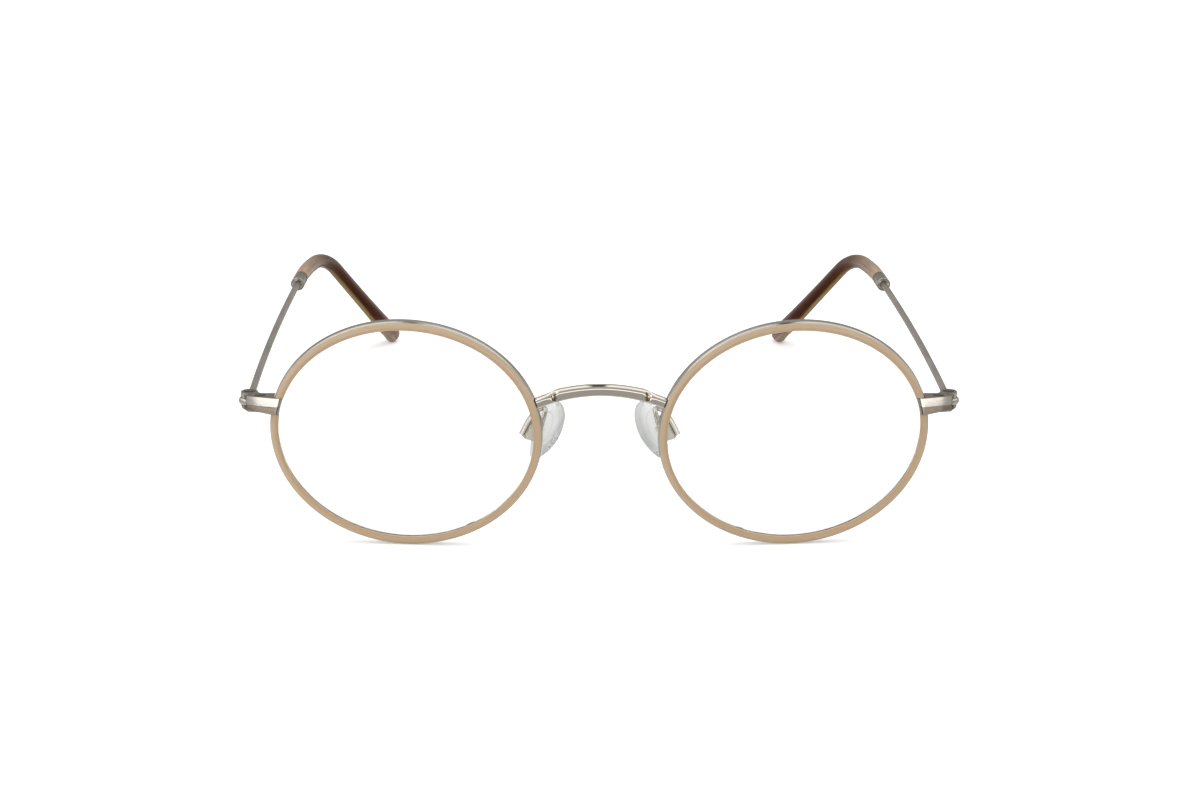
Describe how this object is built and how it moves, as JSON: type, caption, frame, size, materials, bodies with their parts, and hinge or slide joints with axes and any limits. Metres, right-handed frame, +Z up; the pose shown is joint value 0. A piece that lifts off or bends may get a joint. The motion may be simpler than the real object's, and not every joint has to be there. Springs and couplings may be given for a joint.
{
  "type": "round eyeglasses",
  "caption": "Round wire-rim eyeglasses with inlaid rims, a saddle-shaped metal bridge, adjustable nose pads, folding wire temples and curved moulded ear tips.",
  "frame": {"origin": "on the surface the eyeglasses stand on, in the middle from side to side and from front to back", "axes": "+X towards the wearer's left, +Y from the lenses back to the ear tips, +Z up"},
  "size_m": [0.1284, 0.1341, 0.0436],
  "materials": {
    "satin_metal": "satin grey plating",
    "polished_metal": "polished pewter-coloured plating",
    "screw_steel": "turned and plated",
    "beige_inlay": "smooth beige enamel look",
    "clear_lens": "clear, polished",
    "brown_tip": "translucent brown, polished",
    "soft_pad": "clear soft moulding"
  },
  "bodies": {
    "front": {"bridge": "polished_metal", "right_eyewire": "satin_metal", "left_eyewire": "satin_metal", "right_rim_inlay": "beige_inlay", "left_rim_inlay": "beige_inlay", "right_lens": "clear_lens", "left_lens": "clear_lens", "right_endpiece": "polished_metal", "left_endpiece": "polished_metal", "right_closing_block": "satin_metal", "left_closing_block": "satin_metal", "right_rim_lock_screw": "screw_steel", "left_rim_lock_screw": "screw_steel", "right_hinge_screw": "screw_steel", "left_hinge_screw": "screw_steel", "right_pad_arm": "satin_metal", "left_pad_arm": "satin_metal", "right_pad_box": "satin_metal", "left_pad_box": "satin_metal", "right_pad_screw": "screw_steel", "left_pad_screw": "screw_steel"},
    "left_temple": {"left_temple_knuckle": "polished_metal", "left_temple_wire": "satin_metal", "left_ferrule": "polished_metal", "left_temple_tip": "brown_tip"},
    "left_pad": {"left_nose_pad": "soft_pad"},
    "right_temple": {"right_temple_knuckle": "polished_metal", "right_temple_wire": "satin_metal", "right_ferrule": "polished_metal", "right_temple_tip": "brown_tip"},
    "right_pad": {"right_nose_pad": "soft_pad"}
  },
  "joints": [
    {"name": "left_temple_fold", "type": "hinge", "parent": "front", "child": "left_temple", "pos_m": [0.06228, -0.05816, 0.02659], "axis": [0, 0, 1], "range_deg": [0, 80]},
    {"name": "right_temple_fold", "type": "hinge", "parent": "front", "child": "right_temple", "pos_m": [-0.06228, -0.05816, 0.02659], "axis": [0, 0, -1], "range_deg": [0, 62]},
    {"name": "left_pad_rock", "type": "hinge", "parent": "front", "child": "left_pad", "pos_m": [0.01188, -0.0573, 0.02128], "axis": [0.422, 0.8829, 0.2058], "range_deg": [-9, 9]},
    {"name": "right_pad_rock", "type": "hinge", "parent": "front", "child": "right_pad", "pos_m": [-0.01188, -0.0573, 0.02128], "axis": [-0.422, 0.8829, 0.2058], "range_deg": [-9, 9]}
  ]
}
